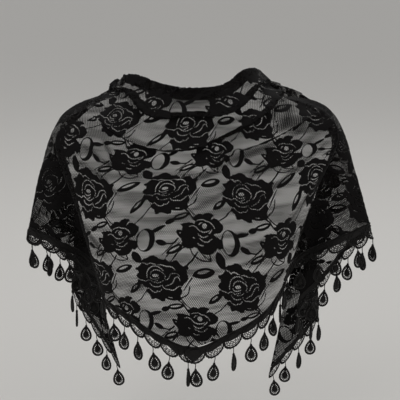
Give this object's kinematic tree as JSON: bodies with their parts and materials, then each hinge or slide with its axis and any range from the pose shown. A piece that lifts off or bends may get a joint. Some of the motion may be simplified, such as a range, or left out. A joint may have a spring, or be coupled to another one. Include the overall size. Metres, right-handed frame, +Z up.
{
  "type": "lace triangle scarf",
  "caption": "Triangular rose-lace scarf kept in its worn form: cowl folds at the neck, flared wings over the shoulders, tails behind, scalloped edging with teardrop drops.",
  "frame": {"origin": "where the wearer's neck comes through the scarf, midway between the two sides of the neck", "axes": "+Z up along the neck, -Y to the wearer's front, +X to the viewer's right"},
  "size_m": [0.4908, 0.2567, 0.5194],
  "materials": {
    "lace": "black knitted rose lace",
    "edging": "black corded guipure lace"
  },
  "bodies": {
    "root": {"lace_body": "lace", "edging_left": "edging", "edging_right": "edging"}
  },
  "joints": []
}
